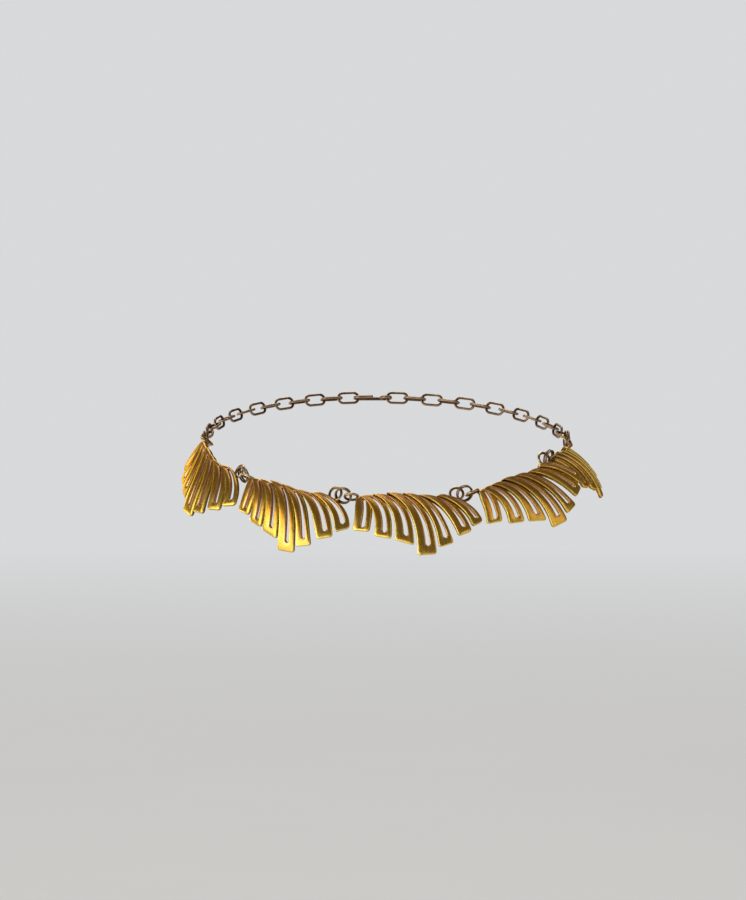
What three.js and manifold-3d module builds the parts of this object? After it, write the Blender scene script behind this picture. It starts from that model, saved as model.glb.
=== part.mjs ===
// Collar choker necklace: five cast fan panels joined by double jump rings, worn as a closed loop.
// Millimetres, +Z up. The front of the loop faces -Y and the origin is the middle of the loop.
import * as THREE from 'three';
import { mergeVertices } from 'three/addons/utils/BufferGeometryUtils.js';
import Module from 'manifold-3d';

const wasm = await Module();
wasm.setup();

// The worn loop
const LOOP_RADIUS = 63;
const FRONT_DROP = 16;
const BACK_RISE = 12;
const FRONT_TURN = 4.75;

// Heights of the six joints, as shares of the front drop, from one end of the five panels to the other
const JOINTS = [
  { height: 0.29 },
  { height: -0.37 },
  { height: -0.725 },
  { height: -0.705 },
  { height: -0.03 },
  { height: 0.225 },
];

// How each panel has settled on the neck: its lean in degrees, with its finger tips outward, then
// shares of the dome's rise, sags and lift, and how far down the panel's drop the dome peaks
const PANELS = [
  { lean: 29.5, rise: 1.2, acrossSag: 0.95, downSag: 0.7, lift: 0.2, peak: 0.4 },
  { lean: 22.5, rise: 1.1, acrossSag: 1.15, downSag: 1, lift: 0.7, peak: 0.27 },
  { lean: 31, rise: 1, acrossSag: 1, downSag: 1, lift: 1, peak: 0.31 },
  { lean: 25.5, rise: 1.1, acrossSag: 0.75, downSag: 0.8, lift: 1.45, peak: 0.45 },
  { lean: 38.5, rise: 0.4, acrossSag: 0.55, downSag: 0.9, lift: 0.2, peak: 0.52 },
];

// The fan panel
const PANEL_PITCH = 40.2;
const PANEL_DROP = 22.7;
const PANEL_THICKNESS = 1.8;
const TIP_THICKNESS = 1.2;
const EDGE_ROUND = 0.42;
const SHINGLE_STEP = 1.0;
const CREST_BOW = 0.45;
const SLOT_TOP_WIDTH = 0.8;
const SLOT_END_WIDTH = 1.4;
const SLOT_PLACE = 0.57;
const TIP_ROUND = 0.9;

// The dome of the panel's face, measured outward from the line between its two joints
const DOME_RISE = 4.6;
const DOME_ACROSS_SAG = 4.4;
const DOME_DOWN_SAG = 9.4;
const DOME_DIAGONAL_LIFT = 4.5;

// The eyes at the panel's two ends
const EYE_HOLE = 3.5;
const EYE_WIRE = 0.85;
const EYE_STEM = 1.1;
const LEFT_EYE_DROP = 0.6;
const RIGHT_EYE_DROP = 0;
const LEFT_EYE_TURN = 5;

// The jump rings
const RING_OUTER = 5.8;
const RING_WIRE = 0.62;
const RING_GAP = 0.15;
const RING_SLACK = 0.25;
const RING_TILT = 45;
const RING_SHIFT = -0.2;

// The plain chain and hook behind the neck
const LINKS_PER_SIDE = 14;
const LINK_WIRE = 0.9;
const LINK_WIDTH = 4.6;
const LINK_GAP = 0.25;
const CHAIN_ROLL = 15;
const HOOK_SPAN = 13;
const HOOK_WIRE = 1.2;
const HOOK_BEND = 1.7;
const HOOK_TIP = 4.2;

// Each finger's two edges. Across is a share of the panel's pitch from its middle, down a share
// of its drop. Lead and fall are the edge's directions at its top and at its tip, in degrees
// below straight across. The slot runs between two shares of the finger's length.
const FINGERS = [
  {
    left: { topAcross: -0.392, topDown: 0.067, tipAcross: -0.438, tipDown: 0.533, lead: 108, fall: 110 },
    right: { topAcross: -0.301, topDown: 0.05, tipAcross: -0.306, tipDown: 0.6, lead: 64, fall: 98 },
    slotFrom: 0.09,
    slotTo: 0.86,
  },
  {
    left: { topAcross: -0.36, topDown: 0.057, tipAcross: -0.268, tipDown: 0.67, lead: 40, fall: 103 },
    right: { topAcross: -0.246, topDown: 0.052, tipAcross: -0.133, tipDown: 0.745, lead: 31, fall: 97 },
    slotFrom: 0.09,
    slotTo: 0.87,
  },
  {
    left: { topAcross: -0.26, topDown: 0.051, tipAcross: -0.104, tipDown: 0.767, lead: 27, fall: 99 },
    right: { topAcross: -0.121, topDown: 0.078, tipAcross: 0.052, tipDown: 0.865, lead: 29, fall: 90 },
    slotFrom: 0.09,
    slotTo: 0.86,
  },
  {
    left: { topAcross: -0.15, topDown: 0.043, tipAcross: 0.076, tipDown: 1, lead: 28, fall: 93 },
    right: { topAcross: 0.03, topDown: 0.088, tipAcross: 0.234, tipDown: 0.995, lead: 37, fall: 87 },
    slotFrom: 0.1,
    slotTo: 0.87,
  },
  {
    left: { topAcross: -0.017, topDown: 0.069, tipAcross: 0.252, tipDown: 0.905, lead: 25, fall: 86 },
    right: { topAcross: 0.154, topDown: 0.11, tipAcross: 0.378, tipDown: 0.835, lead: 34, fall: 72 },
    slotFrom: 0.1,
    slotTo: 0.87,
  },
  {
    left: { topAcross: 0.107, topDown: 0.105, tipAcross: 0.419, tipDown: 0.732, lead: 12, fall: 71 },
    right: { topAcross: 0.297, topDown: 0.1, tipAcross: 0.535, tipDown: 0.627, lead: 12, fall: 74 },
    slotFrom: 0.11,
    slotTo: 0.85,
  },
  {
    left: { topAcross: 0.259, topDown: 0.101, tipAcross: 0.543, tipDown: 0.556, lead: 5, fall: 76 },
    right: { topAcross: 0.344, topDown: 0.03, tipAcross: 0.637, tipDown: 0.428, lead: 2, fall: 76 },
    slotFrom: 0.13,
    slotTo: 0.84,
  },
];

// How far an edge's two handles reach, as shares of the edge's own span
const HANDLES = { top: 0.33, tip: 0.4 };

// Where the sections of a finger lie along it, from its top to its tip
const SECTIONS = [0, 0.11, 0.27, 0.46, 0.72];

const EYE_RADIUS = (EYE_HOLE + EYE_WIRE) / 2;
const RING_RADIUS = (RING_OUTER - RING_WIRE) / 2;
const EYE_REACH = RING_RADIUS + RING_SLACK;
const EYE_ACROSS = PANEL_PITCH / 2 - EYE_REACH;

const GOLD = { color: 0xd9a53a, roughness: 0.34, metalness: 1 };
const BRONZE = { color: 0x8a6a35, roughness: 0.42, metalness: 1 };

function degrees(angle) {
  return THREE.MathUtils.degToRad(angle);
}

function material(look) {
  return new THREE.MeshStandardMaterial(look);
}

function mix(a, b, share) {
  return a.clone().lerp(b, share);
}

// A closed surface from its points and triangles
function surface(points, triangles) {
  const geometry = new THREE.BufferGeometry();
  geometry.setAttribute('position', new THREE.Float32BufferAttribute(points.flat(), 3));
  geometry.setIndex(triangles);
  return geometry;
}

function toSolid(geometry) {
  const bare = geometry.clone();
  bare.deleteAttribute('normal');
  bare.deleteAttribute('uv');
  const merged = mergeVertices(bare, 1e-4);
  return new wasm.Manifold(
    new wasm.Mesh({
      numProp: 3,
      vertProperties: new Float32Array(merged.attributes.position.array),
      triVerts: new Uint32Array(merged.index.array),
    }),
  );
}

function toGeometry(solid) {
  const mesh = solid.getMesh();
  const geometry = new THREE.BufferGeometry();
  const position = new Float32Array(mesh.vertProperties);
  geometry.setAttribute('position', new THREE.BufferAttribute(position, 3));
  geometry.setIndex(new THREE.BufferAttribute(new Uint32Array(mesh.triVerts), 1));
  return geometry;
}

function join(geometries) {
  let whole = toSolid(geometries[0]);
  for (const geometry of geometries.slice(1)) {
    whole = whole.add(toSolid(geometry));
  }
  return toGeometry(whole);
}

// Height of a panel's face over the line between its joints
function faceHeight(panel, across, up) {
  const u = across / (PANEL_PITCH / 2);
  const v = -up / PANEL_DROP;
  const acrossSag = DOME_ACROSS_SAG * panel.acrossSag * u * u;
  const downSag = DOME_DOWN_SAG * panel.downSag * (v - panel.peak) ** 2;
  return DOME_RISE * panel.rise - acrossSag - downSag + DOME_DIAGONAL_LIFT * panel.lift * u * v;
}

// A point at a depth under a panel's face, measured square to the face
function underFace(panel, flat, depth) {
  const step = 0.01;
  const height = faceHeight(panel, flat.x, flat.y);
  const slopeAcross = (faceHeight(panel, flat.x + step, flat.y) - height) / step;
  const slopeUp = (faceHeight(panel, flat.x, flat.y + step) - height) / step;
  const normal = new THREE.Vector3(-slopeAcross, -slopeUp, 1).normalize();
  return new THREE.Vector3(flat.x, flat.y, height).addScaledVector(normal, -depth);
}

// One edge of a finger, as a curve on the flat
function edgeCurve(edge) {
  const top = new THREE.Vector2(edge.topAcross * PANEL_PITCH, -edge.topDown * PANEL_DROP);
  const tip = new THREE.Vector2(edge.tipAcross * PANEL_PITCH, -edge.tipDown * PANEL_DROP);
  const span = top.distanceTo(tip);
  const lead = new THREE.Vector2(Math.cos(degrees(edge.lead)), -Math.sin(degrees(edge.lead)));
  const fall = new THREE.Vector2(Math.cos(degrees(edge.fall)), -Math.sin(degrees(edge.fall)));
  return new THREE.CubicBezierCurve(
    top,
    top.clone().addScaledVector(lead, HANDLES.top * span),
    tip.clone().addScaledVector(fall, -HANDLES.tip * span),
    tip,
  );
}

// The outline of a finger and the outline of its slot, point for point, walked round together
function fingerLoops(finger) {
  const left = edgeCurve(finger.left);
  const right = edgeCurve(finger.right);
  const length = left.getLength();
  const corner = 1 - TIP_ROUND / length;
  const walk = [...SECTIONS, corner];
  const at = (along, across) => mix(left.getPoint(along), right.getPoint(along), across);
  const slotEdge = (share, side) => {
    const along = THREE.MathUtils.lerp(finger.slotFrom, finger.slotTo, share);
    const width = left.getPoint(along).distanceTo(right.getPoint(along));
    const slot = THREE.MathUtils.lerp(SLOT_TOP_WIDTH, SLOT_END_WIDTH, share);
    return { flat: at(along, SLOT_PLACE + (side * slot) / 2 / width), across: SLOT_PLACE, along };
  };
  const outer = [];
  const inner = [];
  const put = (flat, across, along, slot) => {
    outer.push({ flat, across, along });
    inner.push(slot);
  };
  for (const along of walk) {
    put(at(along, 0), 0, along, slotEdge(along / corner, -1));
  }
  const round = (TIP_ROUND * 0.75) / at(1, 0).distanceTo(at(1, 1));
  put(at(1, round), round, 1, slotEdge(1, -0.5));
  put(at(1, 1 - round), 1 - round, 1, slotEdge(1, 0.5));
  for (const along of [...walk].reverse()) {
    put(at(along, 1), 1, along, slotEdge(along / corner, 1));
  }
  const crest = at(0, 0.5).add(new THREE.Vector2(0, CREST_BOW));
  put(crest, 0.5, 0, slotEdge(0, 0));
  return { outer, inner };
}

// A finger: a closed band between its outline and its slot, with its front edges rounded off
function fingerGeometry(panel, finger) {
  const { outer, inner } = fingerLoops(finger);
  const points = [];
  const triangles = [];
  const sides = 6;
  outer.forEach((out, i) => {
    const slot = inner[i];
    const wide = out.flat.distanceTo(slot.flat);
    const inset = Math.min(EDGE_ROUND / wide, 0.35);
    const step = (place) => SHINGLE_STEP * (place.across - 0.35) * (1 - 0.6 * place.along);
    const deep = (place) => THREE.MathUtils.lerp(PANEL_THICKNESS, TIP_THICKNESS, place.along) + step(place);
    const section = [
      [out.flat, deep(out)],
      [out.flat, EDGE_ROUND + step(out)],
      [mix(out.flat, slot.flat, inset), step(out)],
      [mix(slot.flat, out.flat, inset), step(slot)],
      [slot.flat, EDGE_ROUND + step(slot)],
      [slot.flat, deep(slot)],
    ];
    points.push(...section.map(([flat, depth]) => underFace(panel, flat, depth).toArray()));
  });
  const count = outer.length;
  for (let i = 0; i < count; i += 1) {
    const next = (i + 1) % count;
    for (let j = 0; j < sides; j += 1) {
      const k = (j + 1) % sides;
      const a = i * sides + j;
      const b = next * sides + j;
      const c = next * sides + k;
      const d = i * sides + k;
      triangles.push(a, b, c, a, c, d);
    }
  }
  return surface(points, triangles);
}

function eyeGeometry(centre, axis) {
  const eye = new THREE.TorusGeometry(EYE_RADIUS, EYE_WIRE / 2, 5, 12);
  const turn = new THREE.Quaternion().setFromUnitVectors(new THREE.Vector3(0, 0, 1), axis);
  eye.applyQuaternion(turn);
  eye.translate(centre.x, centre.y, centre.z);
  return eye;
}

// A straight round bar between two points
function barGeometry(from, to, thick) {
  const along = to.clone().sub(from);
  const bar = new THREE.CylinderGeometry(thick / 2, thick / 2, along.length(), 5);
  const up = new THREE.Vector3(0, 1, 0);
  bar.applyQuaternion(new THREE.Quaternion().setFromUnitVectors(up, along.clone().normalize()));
  const middle = mix(from, to, 0.5);
  bar.translate(middle.x, middle.y, middle.z);
  return bar;
}

function leftEyeCentre() {
  return new THREE.Vector3(-EYE_ACROSS, -LEFT_EYE_DROP, 0);
}

function rightEyeCentre() {
  return new THREE.Vector3(EYE_ACROSS, -RIGHT_EYE_DROP, 0);
}

// The left eye lies nearly flat, its far side a little higher than the side on the finger
function leftEyeAxis() {
  const turn = degrees(LEFT_EYE_TURN);
  return new THREE.Vector3(Math.sin(turn), Math.cos(turn), 0);
}

// The stem from the left eye to the first finger's rail
function leftStem(panel) {
  const rail = edgeCurve(FINGERS[0].left).getPoint(0.12);
  const inner = edgeCurve(FINGERS[0].right).getPoint(0.12);
  const foot = underFace(panel, mix(rail, inner, 0.2), PANEL_THICKNESS * 0.45);
  const axis = leftEyeAxis();
  const inward = new THREE.Vector3(axis.y, -axis.x, 0);
  const start = leftEyeCentre().addScaledVector(inward, EYE_RADIUS);
  return barGeometry(start, foot, EYE_STEM);
}

// The stem from the right eye down into the last finger's arch
function rightStem(panel) {
  const finger = FINGERS[FINGERS.length - 1];
  const rail = edgeCurve(finger.right).getPoint(0.36);
  const inner = edgeCurve(finger.left).getPoint(0.36);
  const foot = underFace(panel, mix(rail, inner, 0.12), PANEL_THICKNESS * 0.6);
  const start = rightEyeCentre().add(new THREE.Vector3(0, -EYE_RADIUS, 0));
  return barGeometry(start, foot, EYE_STEM);
}

function panelGeometry(panel) {
  const parts = FINGERS.map((finger) => fingerGeometry(panel, finger));
  parts.push(eyeGeometry(leftEyeCentre(), leftEyeAxis()));
  parts.push(leftStem(panel));
  parts.push(eyeGeometry(rightEyeCentre(), new THREE.Vector3(0, 0, 1)));
  parts.push(rightStem(panel));
  return join(parts);
}

// The six joint centres, a panel's pitch apart round the loop
function jointCentres() {
  const heights = JOINTS.map((joint) => joint.height * FRONT_DROP);
  const turnBetween = (a, b) => {
    const flat = Math.sqrt(PANEL_PITCH ** 2 - (heights[a] - heights[b]) ** 2);
    return 2 * Math.asin(flat / 2 / LOOP_RADIUS);
  };
  const middle = degrees(FRONT_TURN);
  const turns = [];
  turns[2] = middle - turnBetween(2, 3) / 2;
  turns[3] = middle + turnBetween(2, 3) / 2;
  turns[1] = turns[2] - turnBetween(1, 2);
  turns[0] = turns[1] - turnBetween(0, 1);
  turns[4] = turns[3] + turnBetween(3, 4);
  turns[5] = turns[4] + turnBetween(4, 5);
  return turns.map((turn, k) => {
    const x = LOOP_RADIUS * Math.sin(turn);
    const y = -LOOP_RADIUS * Math.cos(turn);
    return new THREE.Vector3(x, y, heights[k]);
  });
}

// The frame of a panel: across to its right joint, up in its leaning face, and outward
function panelFrame(from, to, lean) {
  const across = to.clone().sub(from).normalize();
  const level = new THREE.Vector3().crossVectors(across, new THREE.Vector3(0, 0, 1)).normalize();
  const plumb = new THREE.Vector3().crossVectors(level, across);
  const tip = degrees(lean);
  const up = plumb.clone().multiplyScalar(Math.cos(tip)).addScaledVector(level, -Math.sin(tip));
  const out = new THREE.Vector3().crossVectors(across, up);
  const matrix = new THREE.Matrix4().makeBasis(across, up, out);
  matrix.setPosition(mix(from, to, 0.5));
  return matrix;
}

function axisOf(matrix, column) {
  return new THREE.Vector3().setFromMatrixColumn(matrix, column);
}

// A vector made square to a direction
function squareTo(vector, direction) {
  return vector.clone().addScaledVector(direction, -vector.dot(direction)).normalize();
}

// Where each double jump ring sits, which way it runs, and the direction its two rings stand apart
function ringSeats(frames) {
  const bend = Math.asin(PANEL_PITCH / 2 / LOOP_RADIUS);
  const plumb = new THREE.Vector3(0, 0, 1);
  const count = frames.length;
  const leftEyes = frames.map((frame) => leftEyeCentre().applyMatrix4(frame));
  const rightEyes = frames.map((frame) => rightEyeCentre().applyMatrix4(frame));
  const before = axisOf(frames[0], 0).applyAxisAngle(plumb, -bend);
  const after = axisOf(frames[count - 1], 0).applyAxisAngle(plumb, bend);
  const chainStart = leftEyes[0].clone().addScaledVector(before, -2 * EYE_REACH);
  const chainEnd = rightEyes[count - 1].clone().addScaledVector(after, 2 * EYE_REACH);
  const from = [chainStart, ...rightEyes];
  const to = [...leftEyes, chainEnd];
  return from.map((point, k) => {
    const along = to[k].clone().sub(point).normalize();
    const apart = new THREE.Vector3();
    for (const frame of [frames[k - 1], frames[k]].filter(Boolean)) {
      apart.addScaledVector(axisOf(frame, 1), Math.cos(degrees(RING_TILT)));
      apart.addScaledVector(axisOf(frame, 2), -Math.sin(degrees(RING_TILT)));
    }
    return { centre: mix(point, to[k], 0.5), along, apart: squareTo(apart, along) };
  });
}

function placed(geometry, name, look, x, z, centre) {
  const mesh = new THREE.Mesh(geometry, material(look));
  mesh.name = name;
  const y = new THREE.Vector3().crossVectors(z, x);
  mesh.quaternion.setFromRotationMatrix(new THREE.Matrix4().makeBasis(x, y, z));
  mesh.position.copy(centre);
  return mesh;
}

function jumpRingPair(seat, k) {
  const apart = (RING_WIRE + RING_GAP) / 2;
  return [-1, 1].map((side) => {
    const ring = new THREE.TorusGeometry(RING_RADIUS, RING_WIRE / 2, 5, 12);
    const name = `ring_${k}${side < 0 ? 'a' : 'b'}`;
    const centre = seat.centre.clone().addScaledVector(seat.apart, side * apart + RING_SHIFT);
    return placed(ring, name, BRONZE, seat.along, seat.apart, centre);
  });
}

// The hidden way round the back of the neck, from the last panel's ring to the first one's
class BackRoute extends THREE.Curve {
  constructor(from, to) {
    super();
    this.from = from;
    this.to = to;
    this.turnFrom = Math.atan2(from.x, -from.y);
    this.turnTo = Math.atan2(to.x, -to.y) + 2 * Math.PI;
    this.arcLengthDivisions = 800;
  }

  getPoint(t, target = new THREE.Vector3()) {
    const turn = THREE.MathUtils.lerp(this.turnFrom, this.turnTo, t);
    const from = Math.hypot(this.from.x, this.from.y);
    const to = Math.hypot(this.to.x, this.to.y);
    const radius = THREE.MathUtils.lerp(from, to, t);
    const level = THREE.MathUtils.lerp(this.from.z, this.to.z, t);
    const height = level + BACK_RISE * Math.sin(Math.PI * t);
    return target.set(radius * Math.sin(turn), -radius * Math.cos(turn), height);
  }
}

// An oval link lying in its own plane, with its length along x
function linkGeometry(length) {
  const bow = (LINK_WIDTH - LINK_WIRE) / 2;
  const sides = 12;
  const link = new THREE.TorusGeometry(bow, LINK_WIRE / 2, 5, sides);
  link.rotateZ(Math.PI / sides);
  const position = link.getAttribute('position');
  const straight = (length - LINK_WIDTH) / 2;
  for (let i = 0; i < position.count; i += 1) {
    const x = position.getX(i);
    position.setX(i, x + Math.sign(x) * straight);
  }
  return link;
}

// The way a link of the back chain faces at a place on the route
function chainTurn(route, place, index) {
  const along = route.getTangentAt(place);
  const point = route.getPointAt(place);
  const outward = new THREE.Vector3(point.x, point.y, 0).normalize();
  const up = squareTo(new THREE.Vector3(0, 0, 1), along);
  const roll = degrees(CHAIN_ROLL) + (index % 2) * degrees(90);
  up.multiplyScalar(Math.cos(roll)).addScaledVector(outward, Math.sin(roll));
  return { along, point, facing: squareTo(up, along) };
}

function chainLayout(route) {
  const total = route.getLength();
  const hold = RING_RADIUS - RING_WIRE / 2 - LINK_WIRE / 2 - RING_GAP - RING_SLACK;
  const lap = LINK_WIRE + LINK_GAP;
  const hookLap = (LINK_WIRE + HOOK_WIRE) / 2 + LINK_GAP;
  const side = (total - HOOK_SPAN) / 2;
  const pitch = (side - hold - lap + hookLap) / LINKS_PER_SIDE;
  const length = pitch + lap + LINK_WIRE;
  const first = hold + (pitch + lap) / 2;
  return { total, pitch, length, first, hookStart: side };
}

function chainLinks(route, layout, name, backward) {
  const links = [];
  for (let i = 0; i < LINKS_PER_SIDE; i += 1) {
    const walked = layout.first + i * layout.pitch;
    const place = (backward ? layout.total - walked : walked) / layout.total;
    const { along, point, facing } = chainTurn(route, place, i);
    const number = String(i + 1).padStart(2, '0');
    const link = linkGeometry(layout.length);
    links.push(placed(link, `${name}_${number}`, BRONZE, along, facing, point));
  }
  return links;
}

// The hook: a round eye with a straight shank beside it that turns back on itself, one bent wire
function hookGeometry() {
  const eye = new THREE.TorusGeometry(HOOK_BEND, HOOK_WIRE / 2, 6, 14);
  eye.translate(HOOK_BEND, 0, 0);
  const bendCentre = HOOK_SPAN - HOOK_BEND;
  const shankSteps = 3;
  const bendSteps = 8;
  const points = [];
  for (let i = 0; i < shankSteps; i += 1) {
    const x = THREE.MathUtils.lerp(HOOK_BEND, bendCentre, i / shankSteps);
    points.push(new THREE.Vector3(x, -HOOK_BEND, 0));
  }
  for (let i = 0; i <= bendSteps; i += 1) {
    const turn = -Math.PI / 2 + (Math.PI * i) / bendSteps;
    const x = bendCentre + HOOK_BEND * Math.cos(turn);
    points.push(new THREE.Vector3(x, HOOK_BEND * Math.sin(turn), 0));
  }
  points.push(new THREE.Vector3(bendCentre - HOOK_TIP / 2, HOOK_BEND, 0));
  points.push(new THREE.Vector3(bendCentre - HOOK_TIP, HOOK_BEND * 1.2, 0));
  const path = new THREE.CatmullRomCurve3(points, false, 'centripetal');
  const section = new THREE.Shape();
  section.absarc(0, 0, HOOK_WIRE / 2, 0, 2 * Math.PI, false);
  const shank = new THREE.ExtrudeGeometry(section, {
    curveSegments: 3,
    steps: 26,
    extrudePath: path,
  });
  return join([eye, shank]);
}

function claspHook(route, layout) {
  const start = route.getPointAt(layout.hookStart / layout.total);
  const end = route.getPointAt(1 - layout.hookStart / layout.total);
  const along = end.clone().sub(start).normalize();
  const { facing } = chainTurn(route, 0.5, LINKS_PER_SIDE);
  return placed(hookGeometry(), 'clasp_hook', BRONZE, along, squareTo(facing, along), start);
}

const necklace = new THREE.Group();
const joints = jointCentres();
const frames = PANELS.map((panel, k) => panelFrame(joints[k], joints[k + 1], panel.lean));

frames.forEach((frame, k) => {
  const panel = new THREE.Mesh(panelGeometry(PANELS[k]), material(GOLD));
  panel.name = `panel_${k + 1}`;
  panel.applyMatrix4(frame);
  necklace.add(panel);
});

const seats = ringSeats(frames);
seats.forEach((seat, k) => {
  necklace.add(...jumpRingPair(seat, k));
});

const route = new BackRoute(seats[seats.length - 1].centre, seats[0].centre);
const layout = chainLayout(route);
necklace.add(...chainLinks(route, layout, 'link_right', false));
necklace.add(...chainLinks(route, layout, 'link_left', true));
necklace.add(claspHook(route, layout));

export default necklace;
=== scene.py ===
import math
from collections import namedtuple

import bpy
from mathutils import Matrix, Vector


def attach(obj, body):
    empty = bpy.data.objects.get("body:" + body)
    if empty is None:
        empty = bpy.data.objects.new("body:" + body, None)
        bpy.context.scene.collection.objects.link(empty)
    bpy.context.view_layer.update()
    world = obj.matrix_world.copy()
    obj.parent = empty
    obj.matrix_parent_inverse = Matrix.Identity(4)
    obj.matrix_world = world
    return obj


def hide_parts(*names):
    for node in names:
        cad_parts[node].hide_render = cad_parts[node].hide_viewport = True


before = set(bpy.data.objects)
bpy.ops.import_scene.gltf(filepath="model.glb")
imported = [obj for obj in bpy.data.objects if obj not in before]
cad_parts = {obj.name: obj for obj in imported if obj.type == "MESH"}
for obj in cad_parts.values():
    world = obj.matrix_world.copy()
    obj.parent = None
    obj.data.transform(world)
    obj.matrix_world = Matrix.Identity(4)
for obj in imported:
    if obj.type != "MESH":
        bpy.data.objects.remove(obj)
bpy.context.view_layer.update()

MM = 0.001

# The worn loop, with each joint's height as a share of the front's drop
LOOP_RADIUS = 63
FRONT_DROP = 16
BACK_RISE = 12
FRONT_TURN = 4.75
JOINT_HEIGHTS = (0.29, -0.37, -0.725, -0.705, -0.03, 0.225)

# How each panel has settled: its lean, then shares of the dome's rise, sags and lift, and its peak
Settled = namedtuple("Settled", "lean rise across_sag down_sag lift peak")
PANELS = (
    Settled(29.5, 1.2, 0.95, 0.7, 0.2, 0.4),
    Settled(22.5, 1.1, 1.15, 1, 0.7, 0.27),
    Settled(31, 1, 1, 1, 1, 0.31),
    Settled(25.5, 1.1, 0.75, 0.8, 1.45, 0.45),
    Settled(38.5, 0.4, 0.55, 0.9, 0.2, 0.52),
)

# The fan panel
PANEL_PITCH = 40.2
PANEL_DROP = 22.7
PANEL_THICKNESS = 1.8
TIP_THICKNESS = 1.2
EDGE_ROUND = 0.42
SLOT_ROUND = 0.34
BACK_ROUND = 0.25
RAIL_CROWN = 0.07
CREST_BOW = 0.45
SLOT_TOP_WIDTH = 0.8
SLOT_END_WIDTH = 1.4
SLOT_PLACE = 0.57
TIP_ROUND = 0.9

# Each finger steps down across its width, most at its top, from the share of the width given
SHINGLE_STEP = 1.0
SHINGLE_LEVEL = 0.35
SHINGLE_FADE = 0.6

# The dome of the panel's face
DOME_RISE = 4.6
DOME_ACROSS_SAG = 4.4
DOME_DOWN_SAG = 9.4
DOME_DIAGONAL_LIFT = 4.5

# The eyes and their stems
EYE_HOLE = 3.5
EYE_WIRE = 0.85
EYE_STEM = 1.1
STEM_FLARE = 0.35
LEFT_EYE_DROP = 0.6
RIGHT_EYE_DROP = 0
LEFT_EYE_TURN = 5

# Where a stem's foot meets its rail, as shares of the rail's length, the finger's width and its depth
Foot = namedtuple("Foot", "along across deep")
LEFT_FOOT = Foot(0.12, 0.2, 0.45)
RIGHT_FOOT = Foot(0.36, 0.12, 0.6)

# The jump rings
RING_OUTER = 5.8
RING_WIRE = 0.62
RING_GAP = 0.15
RING_SLACK = 0.25
RING_TILT = 45
RING_SHIFT = -0.2
SEAM_NARROWING = 0.86

# The chain and hook behind the neck
LINKS_PER_SIDE = 14
LINK_WIRE = 0.9
LINK_WIDTH = 4.6
LINK_GAP = 0.25
CHAIN_ROLL = 15
HOOK_SPAN = 13
HOOK_WIRE = 1.2
HOOK_BEND = 1.7
HOOK_TIP = 4.2
HOOK_FLARE = 0.2
HOOK_POINT = 0.02

# One edge of a finger: across is a share of the panel's pitch from its middle, down is a share of
# its drop, and lead and fall are its directions at top and tip, in degrees below straight across.
# A finger's slot runs between two shares of its length.
Edge = namedtuple("Edge", "top_across top_down tip_across tip_down lead fall")
Finger = namedtuple("Finger", "left right slot_from slot_to")
FINGERS = (
    Finger(
        left=Edge(-0.392, 0.067, -0.438, 0.533, 108, 110),
        right=Edge(-0.301, 0.05, -0.306, 0.6, 64, 98),
        slot_from=0.09,
        slot_to=0.86,
    ),
    Finger(
        left=Edge(-0.36, 0.057, -0.268, 0.67, 40, 103),
        right=Edge(-0.246, 0.052, -0.133, 0.745, 31, 97),
        slot_from=0.09,
        slot_to=0.87,
    ),
    Finger(
        left=Edge(-0.26, 0.051, -0.104, 0.767, 27, 99),
        right=Edge(-0.121, 0.078, 0.052, 0.865, 29, 90),
        slot_from=0.09,
        slot_to=0.86,
    ),
    Finger(
        left=Edge(-0.15, 0.043, 0.076, 1, 28, 93),
        right=Edge(0.03, 0.088, 0.234, 0.995, 37, 87),
        slot_from=0.1,
        slot_to=0.87,
    ),
    Finger(
        left=Edge(-0.017, 0.069, 0.252, 0.905, 25, 86),
        right=Edge(0.154, 0.11, 0.378, 0.835, 34, 72),
        slot_from=0.1,
        slot_to=0.87,
    ),
    Finger(
        left=Edge(0.107, 0.105, 0.419, 0.732, 12, 71),
        right=Edge(0.297, 0.1, 0.535, 0.627, 12, 74),
        slot_from=0.11,
        slot_to=0.85,
    ),
    Finger(
        left=Edge(0.259, 0.101, 0.543, 0.556, 5, 76),
        right=Edge(0.344, 0.03, 0.637, 0.428, 2, 76),
        slot_from=0.13,
        slot_to=0.84,
    ),
)
TOP_HANDLE = 0.33
TIP_HANDLE = 0.4

# How finely the meshes are cut
SIDE_STATIONS = 30
CORNER_STATIONS = 5
TIP_STATIONS = 4
CREST_STATIONS = 8
ROUND_STEPS = 4
CROWN_STEPS = 4
WIRE_SIDES = 14
RING_STATIONS = 56
STEM_STEPS = 8
HOOK_SHANK_STEPS = 12
HOOK_BEND_STEPS = 24
HOOK_TIP_STEPS = 8
HOOK_POINT_STEPS = 4
LENGTH_STEPS = 60

# How far each way along a finger its slot's direction is taken, as a share, and the thinnest rail
SLOT_AIM = 0.02
THINNEST_RAIL = 0.05

# The widest that a rail's roundings may be, as shares of its width
WIDEST_EDGE_ROUND = 0.35
WIDEST_SLOT_ROUND = 0.3
WIDEST_BACK_ROUND = 0.2

# Depths down a rail's two walls, as shares of the wall
OUTER_WALL_MIDDLE = 0.6
SLOT_WALL_MIDDLE = 0.45

# How much real wear and painted highlight, and how much painted shade, each part of a rail's section
# gets; its walls, back and slot walls are painted darker
SectionWearAndShade = namedtuple("SectionWearAndShade", "wear shade")
OUTER_BACK = SectionWearAndShade(0.1, 0.75)
OUTER_WALL_FOOT = SectionWearAndShade(0.1, 0.65)
OUTER_WALL = SectionWearAndShade(0.1, 0.5)
FACE = SectionWearAndShade(0.15, 0)
SLOT_WALL = SectionWearAndShade(0, 0.8)
SLOT_WALL_FOOT = SectionWearAndShade(0, 1)
SLOT_BACK = SectionWearAndShade(0.1, 0.8)
OUTER_EDGE_SHADE = 0.05
SLOT_EDGE_SHADE = 0.1
# The rounded top edges are painted paler, for wear and as a painted highlight along the rims
EDGE_WEAR_AND_HIGHLIGHT = 0.4
EDGE_WEAR_AND_HIGHLIGHT_GAIN = 0.6
FACE_SHADE_LIMIT = 0.2
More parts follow.
